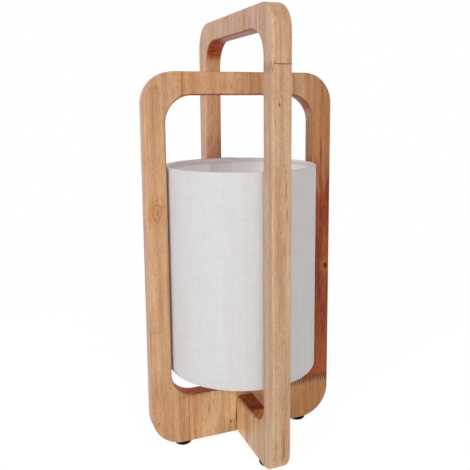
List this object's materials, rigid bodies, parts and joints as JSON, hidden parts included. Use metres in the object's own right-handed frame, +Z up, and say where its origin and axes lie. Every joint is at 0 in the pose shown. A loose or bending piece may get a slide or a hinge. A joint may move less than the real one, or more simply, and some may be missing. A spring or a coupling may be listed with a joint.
{
  "type": "lantern table lamp",
  "caption": "Table lamp made of crossed upright wooden frames with rounded corners, halved together at the base, holding a plain linen drum shade over a bulb.",
  "frame": {"origin": "on the table, under the crossing of the two frames", "axes": "+Z up; the low frame lies in the XZ plane and the tall frame in the YZ plane"},
  "size_m": [0.208, 0.208, 0.454],
  "materials": {
    "tall_wood": "satin lacquered laminated hardwood",
    "low_wood": "satin lacquered laminated hardwood",
    "foot_rubber": "moulded",
    "zinc_steel": "zinc plated",
    "brass": "plain turned",
    "black_paint": "satin powder coat",
    "black_bakelite": "moulded thermoset",
    "core_ceramic": "unglazed",
    "linen": "plain weave with slubs",
    "liner_film": "matt film",
    "white_wire": "white powder coat",
    "bulb_glass": "clear",
    "nickel": "nickel plated",
    "insulator_glass": "black vitreous glass",
    "solder": "dull solder",
    "filament": "phosphor coat"
  },
  "bodies": {
    "base": {"tall_frame": "tall_wood", "low_frame": "low_wood", "feet": "foot_rubber", "foot_screws": "zinc_steel", "threaded_tube": "brass", "tube_washer": "zinc_steel", "tube_nut": "brass", "cover_plate": "black_paint", "holder_cap": "black_bakelite", "holder_core": "core_ceramic", "terminal_blocks": "brass", "terminal_screws": "zinc_steel", "centre_contact": "brass", "screw_sleeve": "brass", "holder_skirt": "black_bakelite"},
    "shade": {"shade_linen": "linen", "shade_liner": "liner_film", "shade_top_ring": "white_wire", "shade_carrier": "white_wire"},
    "shade_ring": {"shade_ring": "black_bakelite"},
    "bulb": {"bulb_globe": "bulb_glass", "bulb_cap": "nickel", "bulb_insulator": "insulator_glass", "bulb_tip": "solder", "bulb_stem": "bulb_glass", "bulb_filaments": "filament"}
  },
  "joints": [
    {"name": "shade_turn", "type": "hinge", "parent": "base", "child": "shade", "pos_m": [0, 0, 0.0885], "axis": [0, 0, 1], "continuous": true},
    {"name": "shade_ring_lift", "type": "slide", "parent": "base", "child": "shade_ring", "axis": [0, 0, 1], "range_m": [0, 0.022]},
    {"name": "bulb_lift", "type": "slide", "parent": "base", "child": "bulb", "axis": [0, 0, 1], "range_m": [0, 0.16]}
  ]
}
